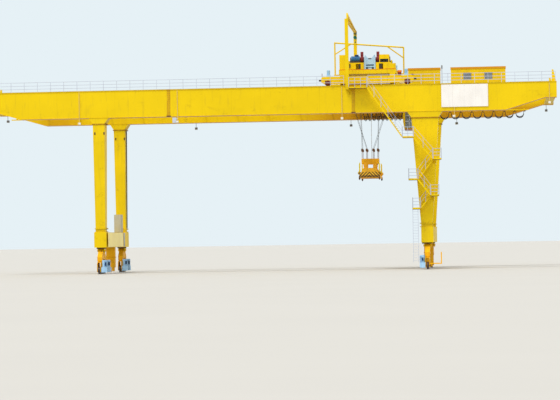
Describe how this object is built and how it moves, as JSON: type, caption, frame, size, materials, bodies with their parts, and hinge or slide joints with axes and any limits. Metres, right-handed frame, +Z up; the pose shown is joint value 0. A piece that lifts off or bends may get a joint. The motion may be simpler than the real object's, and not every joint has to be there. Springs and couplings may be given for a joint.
{
  "type": "rail-mounted double-girder gantry crane with cantilevers and container spreader, 1:2 scale model",
  "caption": "Gantry crane on rail bogies: twin box girders with cantilevers on tapered legs, trolley with hoist, hanging cabin and container spreader, stair, service gantry.",
  "frame": {"origin": "centre of the four wheel groups on the floor plane, under the middle of the span", "axes": "+X along the girders towards the stair leg, +Y along the crane rails to the rear girder, +Z up"},
  "size_m": [33, 9.6238, 14.375],
  "materials": {
    "crane_yellow": "semi-gloss paint",
    "house_yellow": "semi-gloss paint",
    "spreader_yellow": "worn semi-gloss paint",
    "flipper_yellow": "semi-gloss paint",
    "rail_grey": "satin paint",
    "plate_white": "satin paint",
    "cabinet_beige": "satin paint",
    "wheel_steel": "rolled steel, slightly rusty",
    "motor_blue": "satin paint",
    "gearbox_blue": "satin paint",
    "brake_red": "matt paint",
    "drum_grey": "greased",
    "hoist_green": "satin paint",
    "rope_steel": "greased wire",
    "cable_black": "matt",
    "cabin_paint": "satin paint",
    "cabin_glass": "grey tinted glass",
    "lock_brown": "worn"
  },
  "bodies": {
    "structure": {"front_girder": "crane_yellow", "rear_girder": "crane_yellow", "end_ties": "crane_yellow", "trolley_rails": "wheel_steel", "end_stops": "crane_yellow", "left_legs": "crane_yellow", "right_legs": "crane_yellow", "sill_beams": "crane_yellow", "sill_cabinet": "cabinet_beige", "equalizer_beams": "crane_yellow", "wheel_trucks": "crane_yellow", "gantry_wheels": "wheel_steel", "gantry_drives": "motor_blue", "girder_railings": "rail_grey", "stair_landings": "crane_yellow", "stair_flights": "crane_yellow", "stair_railings": "rail_grey", "leg_ladder": "rail_grey", "sign_plate": "plate_white", "floodlights": "rail_grey", "house_platform": "house_yellow", "electrical_houses": "house_yellow", "service_gantry": "crane_yellow", "festoon_track": "rail_grey", "festoon_cable": "cable_black"},
    "trolley": {"trolley_side_beams": "crane_yellow", "trolley_buffers": "cable_black", "trolley_deck": "crane_yellow", "machinery_base": "crane_yellow", "hoist_gearbox": "gearbox_blue", "hoist_motors": "motor_blue", "hoist_brakes": "brake_red", "travel_motors": "motor_blue", "trolley_cabinets": "crane_yellow", "pipe_frame": "crane_yellow", "operator_cabin": "cabin_paint", "cabin_glazing": "cabin_glass", "hoist_ropes": "rope_steel"},
    "left_wheels": {"left_trolley_wheels": "wheel_steel"},
    "right_wheels": {"right_trolley_wheels": "wheel_steel"},
    "drum": {"hoist_drum": "drum_grey"},
    "spreader": {"headblock": "spreader_yellow", "spreader_frame": "spreader_yellow", "corner_locks": "lock_brown"},
    "left_guides": {"left_flippers": "flipper_yellow"},
    "right_guides": {"right_flippers": "flipper_yellow"},
    "workshop_hoist": {"service_hoist": "hoist_green"}
  },
  "joints": [
    {"name": "trolley_travel", "type": "slide", "parent": "structure", "child": "trolley", "axis": [1, 0, 0], "range_m": [-19.3, 7.3], "deforming": ["festoon_cable"]},
    {"name": "spreader_hoist", "type": "slide", "parent": "trolley", "child": "spreader", "axis": [0, 0, 1], "range_m": [-4.9, 1.6], "deforming": ["hoist_ropes"]},
    {"name": "workshop_hoist_travel", "type": "slide", "parent": "structure", "child": "workshop_hoist", "axis": [0, 1, 0], "range_m": [-7.3, 0.45]},
    {"name": "left_guide_swing", "type": "hinge", "parent": "spreader", "child": "left_guides", "pos_m": [5.273, 0, 5.51], "axis": [0, -1, 0], "range_deg": [0, 170]},
    {"name": "right_guide_swing", "type": "hinge", "parent": "spreader", "child": "right_guides", "pos_m": [6.517, 0, 5.51], "axis": [0, 1, 0], "range_deg": [0, 170]},
    {"name": "left_wheel_roll", "type": "hinge", "parent": "trolley", "child": "left_wheels", "pos_m": [3.745, 0, 10.5653], "axis": [0, 1, 0], "continuous": true},
    {"name": "right_wheel_roll", "type": "hinge", "parent": "trolley", "child": "right_wheels", "pos_m": [8.205, 0, 10.5653], "axis": [0, 1, 0], "continuous": true},
    {"name": "drum_turn", "type": "hinge", "parent": "trolley", "child": "drum", "pos_m": [5.975, 0, 11.895], "axis": [1, 0, 0], "continuous": true}
  ],
  "couplings": [
    {"joint": "right_guide_swing", "follows": "left_guide_swing", "ratio": 1},
    {"joint": "left_wheel_roll", "follows": "trolley_travel", "rad_per_m": 5.7143},
    {"joint": "right_wheel_roll", "follows": "trolley_travel", "rad_per_m": 5.7143},
    {"joint": "drum_turn", "follows": "spreader_hoist", "rad_per_m": 7.6923}
  ]
}
